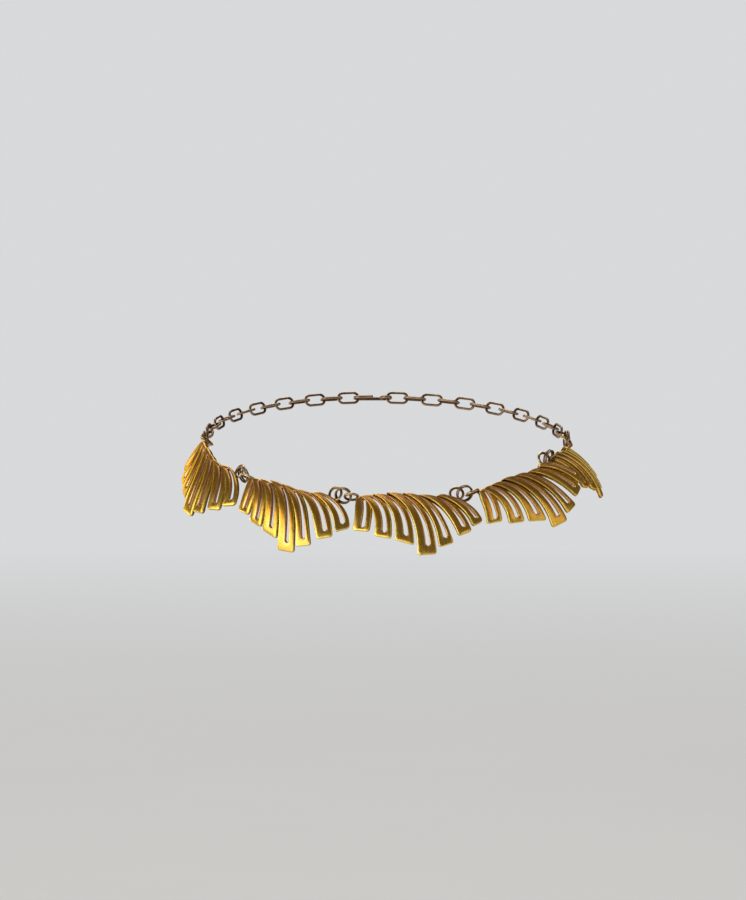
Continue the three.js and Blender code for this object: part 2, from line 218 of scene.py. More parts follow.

# How a finger's wear, painted highlights, painted shade and rose tint change over it, in shares of
# its length, its width or its rail's width
# Shade painted darker near the crest and where a finger tucks under the next
ROOT_REACH = 0.45
ROOT_SHADE = 0.35
ROOT_SHADE_ACROSS = 0.55
TUCK_FROM = 0.78
TUCK_FADE = 0.6
TUCK_SHADE = 0.85
# Highlights painted paler towards the tips and along each finger's left edge
TIP_PAINTED_HIGHLIGHT = 0.35
TIP_HIGHLIGHT_FROM = 0.35
LEFT_EDGE_PAINTED_HIGHLIGHT = 0.7
LEFT_EDGE_HIGHLIGHT_BAND = 0.2
TOP_WEAR = 0.5
ROSE_FROM = 0.76
ROOT_ROSE = 0.4

# The painted shade on a wire's far side, and how the grain is laid over the fingers
WIRE_UNDERSIDE_SHADE = 0.6
FINGER_GRAIN_WIDTH = 3
FINGER_GRAIN_SHIFT = 7

EYE_RADIUS = (EYE_HOLE + EYE_WIRE) / 2
RING_RADIUS = (RING_OUTER - RING_WIRE) / 2
EYE_REACH = RING_RADIUS + RING_SLACK
EYE_ACROSS = PANEL_PITCH / 2 - EYE_REACH


def mix(a, b, share):
    return a + (b - a) * share


def past(value, start):
    """How far a share is past a start, from 0 there to 1 at the end."""
    return max(0, value - start) / (1 - start)


def heading(angle):
    turn = math.radians(angle)
    return Vector((math.cos(turn), -math.sin(turn)))


class Form:
    """Points, faces and the values at each point: wear with painted highlights, painted shade, rose
    tint and grain.
    """

    def __init__(self):
        self.points = []
        self.faces = []
        self.wear = []
        self.shade = []
        self.rose = []
        self.grain = []
        self.looks = []
        self.look = 0

    def put(self, point, wear, shade, grain, rose=0.0):
        self.points.append(point)
        self.wear.append(wear)
        self.shade.append(shade)
        self.rose.append(rose)
        self.grain.append(grain)

    def skin(self, first, stations, sides, closed):
        for i in range(stations if closed else stations - 1):
            following = (i + 1) % stations
            for j in range(sides):
                k = (j + 1) % sides
                a = first + i * sides + j
                b = first + following * sides + j
                c = first + following * sides + k
                d = first + i * sides + k
                self.add_face((a, b, c, d))

    def add_face(self, face):
        self.faces.append(face)
        self.looks.append(self.look)

    def moved(self, matrix):
        other = Form()
        other.points = [matrix @ point for point in self.points]
        other.faces = self.faces
        other.wear = self.wear
        other.shade = self.shade
        other.rose = self.rose
        other.grain = self.grain
        other.looks = self.looks
        return other


def under_face(panel, flat, depth):
    """A point at a depth under a panel's domed face, measured square to the face."""
    u = flat.x / (PANEL_PITCH / 2)
    v = -flat.y / PANEL_DROP
    across_sag = DOME_ACROSS_SAG * panel.across_sag
    down_sag = DOME_DOWN_SAG * panel.down_sag
    lift = DOME_DIAGONAL_LIFT * panel.lift
    past_peak = v - panel.peak
    height = DOME_RISE * panel.rise - across_sag * u * u - down_sag * past_peak**2 + lift * u * v
    slope_across = (lift * v - 2 * across_sag * u) / (PANEL_PITCH / 2)
    slope_down = (lift * u - 2 * down_sag * past_peak) / PANEL_DROP
    normal = Vector((-slope_across, slope_down, 1)).normalized()
    return Vector((flat.x, flat.y, height)) - normal * depth


def edge_curve(edge):
    """The curve down one edge of a finger, as a function of the share along it."""
    top = Vector((edge.top_across * PANEL_PITCH, -edge.top_down * PANEL_DROP))
    tip = Vector((edge.tip_across * PANEL_PITCH, -edge.tip_down * PANEL_DROP))
    span = (tip - top).length
    first = top + heading(edge.lead) * TOP_HANDLE * span
    second = tip - heading(edge.fall) * TIP_HANDLE * span

    def point(t):
        s = 1 - t
        return top * s**3 + first * 3 * s * s * t + second * 3 * s * t * t + tip * t**3

    return point


def curve_length(point):
    steps = [point(k / LENGTH_STEPS) for k in range(LENGTH_STEPS + 1)]
    return sum((b - a).length for a, b in zip(steps, steps[1:]))


# A place on a finger: its flat point, and its shares across and along the finger
Place = namedtuple("Place", "flat across along")


def finger_stations(finger):
    """Pairs of places walked round a finger: one on its outline, one on its slot's outline."""
    left = edge_curve(finger.left)
    right = edge_curve(finger.right)
    corner = 1 - TIP_ROUND / curve_length(left)
    tip_width = (right(1) - left(1)).length
    round_share = TIP_ROUND / tip_width

    def at(along, across):
        return mix(left(along), right(along), across)

    def outline_place(along, across):
        return Place(at(along, across), across, along)

    def slot_place(share, side, beyond):
        along = mix(finger.slot_from, finger.slot_to, share)
        width = (right(along) - left(along)).length
        slot = mix(SLOT_TOP_WIDTH, SLOT_END_WIDTH, share)
        down = (at(along + SLOT_AIM, SLOT_PLACE) - at(along - SLOT_AIM, SLOT_PLACE)).normalized()
        flat = at(along, SLOT_PLACE + side * slot / 2 / width) + down * beyond * slot / 2
        return Place(flat, SLOT_PLACE, along)

    stations = []
    for k in range(SIDE_STATIONS + 1):
        along = corner * k / SIDE_STATIONS
        stations.append((outline_place(along, 0), slot_place(along / corner, -1, 0)))
    turns = 2 * CORNER_STATIONS + TIP_STATIONS
    for k in range(1, turns):
        if k <= CORNER_STATIONS:
            turn = math.pi / 2 * k / CORNER_STATIONS
            along = mix(corner, 1, math.sin(turn))
            across = round_share * (1 - math.cos(turn))
        elif k < CORNER_STATIONS + TIP_STATIONS:
            along = 1
            across = mix(round_share, 1 - round_share, (k - CORNER_STATIONS) / TIP_STATIONS)
        else:
            turn = math.pi / 2 * (turns - k) / CORNER_STATIONS
            along = mix(corner, 1, math.sin(turn))
            across = 1 - round_share * (1 - math.cos(turn))
        bend = math.pi * k / turns
        slot = slot_place(1, -math.cos(bend), math.sin(bend))
        stations.append((outline_place(along, across), slot))
    for k in range(SIDE_STATIONS, -1, -1):
        along = corner * k / SIDE_STATIONS
        stations.append((outline_place(along, 1), slot_place(along / corner, 1, 0)))
    for k in range(1, CREST_STATIONS):
        across = 1 - k / CREST_STATIONS
        crest = at(0, across) + Vector((0, CREST_BOW * 4 * across * (1 - across)))
        bend = math.pi * k / CREST_STATIONS
        slot = slot_place(0, math.cos(bend), -math.sin(bend))
        stations.append((Place(crest, across, 0), slot))
    return stations


def rounded_edge(turn, radius):
    """Depth, and wear with a painted highlight, at a turn round one of a rail's top edges."""
    return radius * (1 - math.sin(turn)), EDGE_WEAR_AND_HIGHLIGHT + EDGE_WEAR_AND_HIGHLIGHT_GAIN * math.sin(2 * turn)


def rail_section(wide, thick):
    """Share across the rail, depth, wear with painted highlight, and painted shade for each point of
    its section.
    """
    outer = min(EDGE_ROUND / wide, WIDEST_EDGE_ROUND)
    inner = min(SLOT_ROUND / wide, WIDEST_SLOT_ROUND)
    back = min(BACK_ROUND / wide, WIDEST_BACK_ROUND)
    deep = thick - BACK_ROUND
    section = [
        (back, thick, *OUTER_BACK),
        (0, deep, *OUTER_WALL_FOOT),
        (0, deep * OUTER_WALL_MIDDLE, *OUTER_WALL),
    ]
    for k in range(ROUND_STEPS + 1):
        turn = math.pi / 2 * k / ROUND_STEPS
        share = outer * (1 - math.cos(turn))
        section.append((share, *rounded_edge(turn, EDGE_ROUND), OUTER_EDGE_SHADE))
    for k in range(1, CROWN_STEPS):
        share = mix(outer, 1 - inner, k / CROWN_STEPS)
        section.append((share, -RAIL_CROWN * math.sin(math.pi * k / CROWN_STEPS), *FACE))
    for k in range(ROUND_STEPS + 1):
        turn = math.pi / 2 * (1 - k / ROUND_STEPS)
        share = 1 - inner * (1 - math.cos(turn))
        section.append((share, *rounded_edge(turn, SLOT_ROUND), SLOT_EDGE_SHADE))
    section.append((1, deep * SLOT_WALL_MIDDLE, *SLOT_WALL))
    section.append((1, deep, *SLOT_WALL_FOOT))
    section.append((1 - back, thick, *SLOT_BACK))
    return section


def shingle_step(place):
    """How far a finger's face sinks at a place, as one finger tucks under the next."""
    return SHINGLE_STEP * (place.across - SHINGLE_LEVEL) * (1 - SHINGLE_FADE * place.along)


def finger_wear_and_painted_light(share, across, along, wear, shade, tucks):
    """Wear with painted highlights, painted shade and rose tint at a place on a finger, from the wear
    and painted shade of its section.
    """
    root = max(0, 1 - along / ROOT_REACH)
    tucked = past(across, TUCK_FROM) * (1 - TUCK_FADE * along) if tucks else 0
    # Painted shade near the crest and where this finger tucks under the next, on top of the section's
    # painted shade
    painted_shade = shade + ROOT_SHADE_ACROSS * root * across + ROOT_SHADE * root + TUCK_SHADE * tucked
    on_face = 1 if shade < FACE_SHADE_LIMIT else 0
    # Painted highlights towards the tip and along the left edge, on the face only; rubbed holds these
    # with real wear
    tip_painted_highlight = TIP_PAINTED_HIGHLIGHT * past(along, TIP_HIGHLIGHT_FROM) ** 2
    left_edge_painted_highlight = LEFT_EDGE_PAINTED_HIGHLIGHT * max(0, 1 - across / LEFT_EDGE_HIGHLIGHT_BAND)
    rubbed = wear * mix(TOP_WEAR, 1, along) + (tip_painted_highlight + left_edge_painted_highlight) * on_face
    rose = past(share, ROSE_FROM) + ROOT_ROSE * root * on_face
    return min(1, rubbed), min(1, painted_shade), min(1, rose)


def add_finger(form, panel, finger, number):
    stations = finger_stations(finger)
    first = len(form.points)
    length = curve_length(edge_curve(finger.left))
    tucks = number < len(FINGERS) - 1
    sides = 0
    for out, slot in stations:
        wide = max((out.flat - slot.flat).length, THINNEST_RAIL)
        thick = mix(PANEL_THICKNESS, TIP_THICKNESS, (out.along + slot.along) / 2)
        section = rail_section(wide, thick)
        sides = len(section)
        for share, depth, wear, shade in section:
            flat = mix(out.flat, slot.flat, share)
            across = mix(out.across, slot.across, share)
            along = mix(out.along, slot.along, share)
            sunk = depth + mix(shingle_step(out), shingle_step(slot), share)
            grain_across = across * FINGER_GRAIN_WIDTH + number * FINGER_GRAIN_SHIFT
            grain = Vector((grain_across, along * length, depth))
            rubbed, painted_shade, rose = finger_wear_and_painted_light(share, across, along, wear, shade, tucks)
            form.put(under_face(panel, flat, sunk), rubbed, painted_shade, grain, rose)
    form.skin(first, len(stations), sides, True)


def add_wire(form, path, radii, normals, closed):
    """A round wire along a path, with the direction square to its bend at each point."""
    first = len(form.points)
    count = len(path)
    travelled = 0
    for i in range(count):
        before = path[i - 1] if closed or i > 0 else path[0]
        after = path[(i + 1) % count] if closed or i < count - 1 else path[-1]
        along = (after - before).normalized()
        side = along.cross(normals[i]).normalized()
        travelled += (path[i] - path[i - 1]).length if i > 0 else 0
        for k in range(WIRE_SIDES):
            turn = 2 * math.pi * k / WIRE_SIDES
            reach = side * math.cos(turn) + normals[i] * math.sin(turn)
            facing = math.cos(turn)
            grain = Vector((turn, travelled, 0))
            point = path[i] + reach * radii[i]
            # The wire's near side gets wear, its far side painted shade
            form.put(point, max(0, facing), max(0, -facing) * WIRE_UNDERSIDE_SHADE, grain)
    form.skin(first, count, WIRE_SIDES, closed)
    if not closed:
        form.add_face(tuple(first + k for k in range(WIRE_SIDES)))
        last = first + (count - 1) * WIRE_SIDES
        form.add_face(tuple(last + k for k in reversed(range(WIRE_SIDES))))


def ring_path(radius, stretch):
    """A round ring in its own plane, or an oval one stretched along x."""
    path = []
    for k in range(RING_STATIONS):
        turn = 2 * math.pi * (k + 0.5) / RING_STATIONS
        shift = math.copysign(stretch, math.cos(turn))
        path.append(Vector((radius * math.cos(turn) + shift, radius * math.sin(turn), 0)))
    return path


def add_ring(form, radius, wire, matrix, stretch=0.0, seam=None):
    """A ring of wire. Where it has a seam, the wire is a little narrower at that station."""
    path = ring_path(radius, stretch)
    radii = [wire / 2] * len(path)
    if seam is not None:
        radii[seam] = wire / 2 * SEAM_NARROWING
    normal = (matrix.to_3x3() @ Vector((0, 0, 1))).normalized()
    placed_path = [matrix @ point for point in path]
    add_wire(form, placed_path, radii, [normal] * len(path), True)


def basis(x, y, z, place):
    rotation = Matrix((x, y, z)).transposed().to_4x4()
    rotation.translation = place
    return rotation


def turned_to(axis, place):
    turn = Vector((0, 0, 1)).rotation_difference(axis).to_matrix().to_4x4()
    turn.translation = place
    return turn


def left_eye_centre():
    return Vector((-EYE_ACROSS, -LEFT_EYE_DROP, 0))


def right_eye_centre():
    return Vector((EYE_ACROSS, -RIGHT_EYE_DROP, 0))


def stem_foot(panel, outer, inner, foot):
    """Where a stem ends inside the rail between a finger's outer edge and its slot."""
    flat = mix(edge_curve(outer)(foot.along), edge_curve(inner)(foot.along), foot.across)
    return under_face(panel, flat, PANEL_THICKNESS * foot.deep)


def add_stem(form, start, end):
    """A short stem from an eye to its rail, flared at both ends."""
    along = (end - start).normalized()
    normal = along.orthogonal().normalized()
    shares = [k / STEM_STEPS for k in range(STEM_STEPS + 1)]
    path = [mix(start, end, share) for share in shares]
    radii = [EYE_STEM / 2 * (1 + STEM_FLARE * abs(2 * share - 1) ** 3) for share in shares]
    add_wire(form, path, radii, [normal] * len(path), False)


def panel_form(panel):
    """A panel's fingers, then its eyes and stems in the second look."""
    form = Form()
    for number, finger in enumerate(FINGERS):
        add_finger(form, panel, finger, number)
    form.look = 1
    turn = math.radians(LEFT_EYE_TURN)
    axis = Vector((math.sin(turn), math.cos(turn), 0))
    inward = Vector((axis.y, -axis.x, 0))
    add_ring(form, EYE_RADIUS, EYE_WIRE, turned_to(axis, left_eye_centre()))
    add_ring(form, EYE_RADIUS, EYE_WIRE, turned_to(Vector((0, 0, 1)), right_eye_centre()))
    left_foot = stem_foot(panel, FINGERS[0].left, FINGERS[0].right, LEFT_FOOT)
    add_stem(form, left_eye_centre() + inward * EYE_RADIUS, left_foot)
    right_foot = stem_foot(panel, FINGERS[-1].right, FINGERS[-1].left, RIGHT_FOOT)
    add_stem(form, right_eye_centre() + Vector((0, -EYE_RADIUS, 0)), right_foot)
    return form


def joint_centres():
    """The joints round the front, a panel's pitch apart, from the middle panel's two outward."""
    heights = [share * FRONT_DROP for share in JOINT_HEIGHTS]

    def between(a, b):
        flat = math.sqrt(PANEL_PITCH**2 - (heights[a] - heights[b]) ** 2)
        return 2 * math.asin(flat / 2 / LOOP_RADIUS)

    middle = math.radians(FRONT_TURN)
    turns = [0] * len(heights)
    turns[2] = middle - between(2, 3) / 2
    turns[3] = middle + between(2, 3) / 2
    turns[1] = turns[2] - between(1, 2)
    turns[0] = turns[1] - between(0, 1)
    turns[4] = turns[3] + between(3, 4)
    turns[5] = turns[4] + between(4, 5)
    places = zip(turns, heights)
    return [Vector((LOOP_RADIUS * math.sin(t), -LOOP_RADIUS * math.cos(t), h)) for t, h in places]


def panel_frame(start, end, lean):
    across = (end - start).normalized()
    level = across.cross(Vector((0, 0, 1))).normalized()
    plumb = level.cross(across)
    tip = math.radians(lean)
    up = plumb * math.cos(tip) - level * math.sin(tip)
    return basis(across, up, across.cross(up), mix(start, end, 0.5))


def square_to(vector, direction):
    return (vector - direction * vector.dot(direction)).normalized()


# Where a pair of rings sits: its centre, the way along the loop, and the way its rings stand apart
Seat = namedtuple("Seat", "centre along apart")


def ring_seats(frames):
    bend = math.asin(PANEL_PITCH / 2 / LOOP_RADIUS)
    left_eyes = [matrix @ left_eye_centre() for matrix in frames]
    right_eyes = [matrix @ right_eye_centre() for matrix in frames]
    before = Matrix.Rotation(-bend, 3, "Z") @ frames[0].to_3x3().col[0]
    after = Matrix.Rotation(bend, 3, "Z") @ frames[-1].to_3x3().col[0]
    starts = [left_eyes[0] - before * 2 * EYE_REACH] + right_eyes
    ends = left_eyes + [right_eyes[-1] + after * 2 * EYE_REACH]
    tilt = math.radians(RING_TILT)
    seats = []
    for k, (start, end) in enumerate(zip(starts, ends)):
        along = (end - start).normalized()
        apart = Vector((0, 0, 0))
        for matrix in frames[max(k - 1, 0) : k + 1]:
            apart += matrix.to_3x3().col[1] * math.cos(tilt)
            apart -= matrix.to_3x3().col[2] * math.sin(tilt)
        seats.append(Seat(mix(start, end, 0.5), along, square_to(apart, along)))
    return seats


class BackRoute:
    """The way round the back of the neck, walked by its length."""

    STEPS = 800
    STRIDE = 0.0002

    def __init__(self, start, end):
        self.start = start
        self.end = end
        self.turn_from = math.atan2(start.x, -start.y)
        self.turn_to = math.atan2(end.x, -end.y) + 2 * math.pi
        walk = [self.raw(k / self.STEPS) for k in range(self.STEPS + 1)]
        self.reached = [0]
        for a, b in zip(walk, walk[1:]):
            self.reached.append(self.reached[-1] + (b - a).length)

    def raw(self, t):
        turn = mix(self.turn_from, self.turn_to, t)
        radius = mix(self.start.to_2d().length, self.end.to_2d().length, t)
        height = mix(self.start.z, self.end.z, t) + BACK_RISE * math.sin(math.pi * t)
        return Vector((radius * math.sin(turn), -radius * math.cos(turn), height))

    def length(self):
        return self.reached[-1]

    def point(self, share):
        target = min(max(share, 0), 1) * self.length()
        low, high = 0, self.STEPS
        while high - low > 1:
            middle = (low + high) // 2
            if self.reached[middle] <= target:
                low = middle
            else:
                high = middle
        rest = (target - self.reached[low]) / (self.reached[high] - self.reached[low])
        return self.raw((low + rest) / self.STEPS)

    def along(self, share):
        ahead = min(share + self.STRIDE, 1)
        behind = max(share - self.STRIDE, 0)
        return (self.point(ahead) - self.point(behind)).normalized()


def chain_turn(route, share, index):
    """The way along, the point and the facing of a link, a quarter turn from its neighbours'."""
    along = route.along(share)
    point = route.point(share)
    outward = Vector((point.x, point.y, 0)).normalized()
    up = square_to(Vector((0, 0, 1)), along)
    roll = math.radians(CHAIN_ROLL) + (index % 2) * math.radians(90)
    facing = square_to(up * math.cos(roll) + outward * math.sin(roll), along)
    return along, point, facing


def hook_form():
    """An eye, a straight shank, a half-round bend and a flared tip with a rounded point."""
    form = Form()
    eye = Matrix.Translation(Vector((HOOK_BEND, 0, 0)))
    add_ring(form, HOOK_BEND, HOOK_WIRE, eye)
    bend_centre = HOOK_SPAN - HOOK_BEND
    path = []
    for k in range(HOOK_SHANK_STEPS):
        path.append(Vector((mix(HOOK_BEND, bend_centre, k / HOOK_SHANK_STEPS), -HOOK_BEND, 0)))
    for k in range(HOOK_BEND_STEPS + 1):
        turn = -math.pi / 2 + math.pi * k / HOOK_BEND_STEPS
        x = bend_centre + HOOK_BEND * math.cos(turn)
        path.append(Vector((x, HOOK_BEND * math.sin(turn), 0)))
    for k in range(1, HOOK_TIP_STEPS + 1):
        share = k / HOOK_TIP_STEPS
        rise = HOOK_BEND * (1 + HOOK_FLARE * share**2)
        path.append(Vector((bend_centre - HOOK_TIP * share, rise, 0)))
    radii = [HOOK_WIRE / 2] * len(path)
    outward = (path[-1] - path[-2]).normalized()
    for k in range(1, HOOK_POINT_STEPS + 1):
        turn = math.pi / 2 * k / HOOK_POINT_STEPS
        last_turn = math.pi / 2 * (k - 1) / HOOK_POINT_STEPS
        path.append(path[-1] + outward * HOOK_WIRE / 2 * (math.sin(turn) - math.sin(last_turn)))
        radii.append(max(HOOK_WIRE / 2 * math.cos(turn), HOOK_POINT))
    add_wire(form, path, radii, [Vector((0, 0, 1))] * len(path), False)
    return form


# The detail and roughness of each noise
Noise = namedtuple("Noise", "detail rough")
DRIFT_NOISE = Noise(3, 0.55)
BLOTCH_NOISE = Noise(6, 0.65)
STREAK_NOISE = Noise(5, 0.6)
PIT_NOISE = Noise(4, 0.7)
CLOUD_NOISE = Noise(4, 0.55)

# The spread of a noise that counts, from low to high, and the levels that it is taken to
WHOLE = (0, 1)
DRIFT_SPREAD = (0.35, 0.65)
BRUSHED_SPREAD = (0.35, 0.7)
TARNISH_SPREAD = (0.35, 0.65)
TARNISH_LEVELS = (-0.32, 0.5)
WORN_SPREAD = (0.3, 0.6)
WORN_LEVELS = (0.5, 1)
ROSE_SPREAD = (0.35, 0.6)
ROSE_LEVELS = (0.45, 0.9)
GLOSS_SPREAD = (0.3, 0.7)

# What tarnish with painted shade, and wear with painted highlights, do to the roughness, and the size
# of the brushed relief
TARNISH_DULLING = 0.18
WORN_POLISH = 0.08
STREAK_RELIEF = 0.6
RELIEF_HEIGHT = 0.05


def node_tree(name):
    material = bpy.data.materials.new(name)
    material.use_nodes = True
    return material, material.node_tree.nodes, material.node_tree.links


def add_math(nodes, links, kind, a, b, clamp=False):
    node = nodes.new("ShaderNodeMath")
    node.operation = kind
    node.use_clamp = clamp
    for socket, value in zip(node.inputs, (a, b)):
        if isinstance(value, (int, float)):
            socket.default_value = value
        else:
            links.new(value, socket)
    return node.outputs[0]


def add_value(nodes, name):
    node = nodes.new("ShaderNodeAttribute")
    node.attribute_name = name
    return node


def add_noise(nodes, links, vector, scale, noise):
    node = nodes.new("ShaderNodeTexNoise")
    node.inputs["Scale"].default_value = scale
    node.inputs["Detail"].default_value = noise.detail
    node.inputs["Roughness"].default_value = noise.rough
    links.new(vector, node.inputs["Vector"])
    return node.outputs["Fac"]


def add_range(nodes, links, value, spread, levels):
    node = nodes.new("ShaderNodeMapRange")
    for socket, number in zip(("From Min", "From Max", "To Min", "To Max"), (*spread, *levels)):
        node.inputs[socket].default_value = number
    links.new(value, node.inputs["Value"])
    return node.outputs["Result"]


def add_mix(nodes, links, share, a, b):
    node = nodes.new("ShaderNodeMix")
    node.data_type = "RGBA"
    links.new(share, node.inputs["Factor"])
    for socket, value in ((node.inputs[6], a), (node.inputs[7], b)):
        if isinstance(value, tuple):
            socket.default_value = (*value, 1)
        else:
            links.new(value, socket)
    return node.outputs[2]


def stretched(nodes, links, vector, scale):
    node = nodes.new("ShaderNodeMapping")
    node.inputs["Scale"].default_value = scale
    links.new(vector, node.inputs["Vector"])
    return node.outputs["Vector"]


def metal_material(name, look):
    """Polished and handled metal: tone drift, random tarnish blotches plus painted shade, brushed
    grain, worn edges plus painted highlights.
    """
    material, nodes, links = node_tree(name)
    shader = nodes["Principled BSDF"]
    shader.inputs["Metallic"].default_value = 1
    shader.inputs["Specular Tint"].default_value = (*look["grazing"], 1)
    place = nodes.new("ShaderNodeTexCoord").outputs["Object"]
    grain = add_value(nodes, "grain").outputs["Vector"]
    wear = add_value(nodes, "wear").outputs["Fac"]
    shade = add_value(nodes, "shade").outputs["Fac"]
    rose = add_value(nodes, "rose").outputs["Fac"]
    drift = add_noise(nodes, links, place, look["drift_scale"], DRIFT_NOISE)
    blotch = add_noise(nodes, links, place, look["blotch_scale"], BLOTCH_NOISE)
    brushing = stretched(nodes, links, grain, look["grain_scale"])
    streak = add_noise(nodes, links, brushing, 1, STREAK_NOISE)
    pits = add_noise(nodes, links, place, look["pit_scale"], PIT_NOISE)

    drifted = add_range(nodes, links, drift, DRIFT_SPREAD, WHOLE)
    tone = add_mix(nodes, links, drifted, look["warm"], look["base"])
    brushed = add_range(nodes, links, streak, BRUSHED_SPREAD, (0, look["streak_share"]))
    tone = add_mix(nodes, links, brushed, tone, look["pale"])

    # Random tarnish blotches plus painted shade from the shade attribute, mixed towards the dark
    # colour
    tarnish_seed = add_range(nodes, links, blotch, TARNISH_SPREAD, TARNISH_LEVELS)
    tarnish_and_painted_shade = add_math(nodes, links, "ADD", shade, tarnish_seed)
    tarnish_and_painted_shade = add_math(nodes, links, "MULTIPLY", tarnish_and_painted_shade, look["tarnish_and_shade_share"], True)
    tone = add_mix(nodes, links, tarnish_and_painted_shade, tone, look["tarnish_and_painted_shade"])

    # Wear plus painted highlights, mixed towards the pale worn colour
    patchy = add_range(nodes, links, blotch, WORN_SPREAD, WORN_LEVELS)
    worn = add_math(nodes, links, "MULTIPLY", wear, patchy)
    worn = add_math(nodes, links, "MULTIPLY", worn, look["worn_share"], True)
    tone = add_mix(nodes, links, worn, tone, look["worn"])

    flushed = add_range(nodes, links, blotch, ROSE_SPREAD, ROSE_LEVELS)
    tint = add_math(nodes, links, "MULTIPLY", rose, flushed)
    tone = add_mix(nodes, links, tint, tone, look["rose"])
    links.new(tone, shader.inputs["Base Color"])

    dulled = add_math(nodes, links, "MULTIPLY", tarnish_and_painted_shade, TARNISH_DULLING)
    polished = add_math(nodes, links, "MULTIPLY", worn, WORN_POLISH)
    rough = add_range(nodes, links, streak, GLOSS_SPREAD, (look["smooth"], look["rough"]))
    rough = add_math(nodes, links, "ADD", rough, dulled)
    rough = add_math(nodes, links, "SUBTRACT", rough, polished, True)
    links.new(rough, shader.inputs["Roughness"])

    streak_relief = add_math(nodes, links, "MULTIPLY", streak, STREAK_RELIEF)
    relief = add_math(nodes, links, "ADD", streak_relief, pits)
    bump = nodes.new("ShaderNodeBump")
    bump.inputs["Strength"].default_value = look["relief"]
    bump.inputs["Distance"].default_value = RELIEF_HEIGHT * MM
    links.new(relief, bump.inputs["Height"])
    links.new(bump.outputs["Normal"], shader.inputs["Normal"])
    return material


# Worn gold plate, on the fingers
GOLD_LOOK = {
    "base": (0.63, 0.265, 0.009),
    "warm": (0.46, 0.16, 0.005),
    "pale": (0.82, 0.5, 0.035),
    # The pale colour for wear and for painted highlights
    "worn": (0.98, 0.79, 0.22),
    "rose": (0.74, 0.43, 0.27),
    "grazing": (1, 0.72, 0.3),
    # The dark colour for tarnish and for painted shade
    "tarnish_and_painted_shade": (0.06, 0.017, 0.002),
    "drift_scale": 90,
    "blotch_scale": 700,
    "grain_scale": (5, 0.35, 2),
    "pit_scale": 3500,
    "streak_share": 0.4,
    "tarnish_and_shade_share": 0.92,
    "worn_share": 0.9,
    "smooth": 0.24,
    "rough": 0.36,
    "relief": 0.35,
}

# The same plate rubbed through, on the panels' eyes and stems
RUBBED_LOOK = {
    **GOLD_LOOK,
    "base": (0.32, 0.18, 0.06),
    "warm": (0.24, 0.11, 0.03),
    "pale": (0.46, 0.31, 0.14),
    # The pale colour for wear and for painted highlights
    "worn": (0.72, 0.56, 0.34),
    # The dark colour for tarnish and for painted shade
    "tarnish_and_painted_shade": (0.05, 0.022, 0.01),
}

# Aged bronze, on the rings, links and hook
BRONZE_LOOK = {
    "base": (0.19, 0.11, 0.06),
    "warm": (0.13, 0.068, 0.034),
    "pale": (0.33, 0.22, 0.14),
    "worn": (0.66, 0.5, 0.38),
    "rose": (0.4, 0.24, 0.18),
    "grazing": (1, 0.86, 0.74),
    # The dark colour for tarnish and for painted shade
    "tarnish_and_painted_shade": (0.04, 0.02, 0.01),
    "drift_scale": 300,
    "blotch_scale": 900,
    "grain_scale": (2, 1.2, 1),
    "pit_scale": 4500,
    "streak_share": 0.35,
    "tarnish_and_shade_share": 0.75,
    "worn_share": 0.5,
    "smooth": 0.26,
    "rough": 0.44,
    "relief": 0.45,
}

gold = metal_material("gold_plate_worn", GOLD_LOOK)
rubbed = metal_material("gold_plate_rubbed", RUBBED_LOOK)
bronze = metal_material("bronze_aged", BRONZE_LOOK)

# The pieces that the lamps round the necklace light
lit_pieces = bpy.data.collections.new("lit_pieces")


def make_piece(form, node, slot, *materials):
    mesh = bpy.data.meshes.new(node + "_look")
    mesh.from_pydata([point * MM for point in form.points], [], form.faces)
    mesh.update()
    mesh.shade_smooth()
    for name, values in (("wear", form.wear), ("shade", form.shade), ("rose", form.rose)):
        attribute = mesh.attributes.new(name, "FLOAT", "POINT")
        attribute.data.foreach_set("value", values)
    grain = mesh.attributes.new("grain", "FLOAT_VECTOR", "POINT")
    grain.data.foreach_set("vector", [number for vector in form.grain for number in vector])
    for material in materials:
        mesh.materials.append(material)
    mesh.polygons.foreach_set("material_index", form.looks)
    piece = bpy.data.objects.new(node + "_look", mesh)
    bpy.context.scene.collection.objects.link(piece)
    lit_pieces.objects.link(piece)
    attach(piece, "root")
    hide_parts(node)


def make_panels(frames):
    for k, (matrix, panel) in enumerate(zip(frames, PANELS)):
        make_piece(panel_form(panel).moved(matrix), f"panel_{k + 1}", "gold_plate", gold, rubbed)


def make_rings(seats):
    """Two rings side by side at each seat, with their seams a little apart."""
    for k, seat in enumerate(seats):
        for side, letter in ((-1, "a"), (1, "b")):
            form = Form()
            offset = side * (RING_WIRE + RING_GAP) / 2 + RING_SHIFT
            centre = seat.centre + seat.apart * offset
            place = basis(seat.along, seat.apart.cross(seat.along), seat.apart, centre)
            seam = RING_STATIONS * 3 // 4 + 2 * side
            add_ring(form, RING_RADIUS, RING_WIRE, place, seam=seam)
            make_piece(form, f"ring_{k}{letter}", "aged_bronze", bronze)


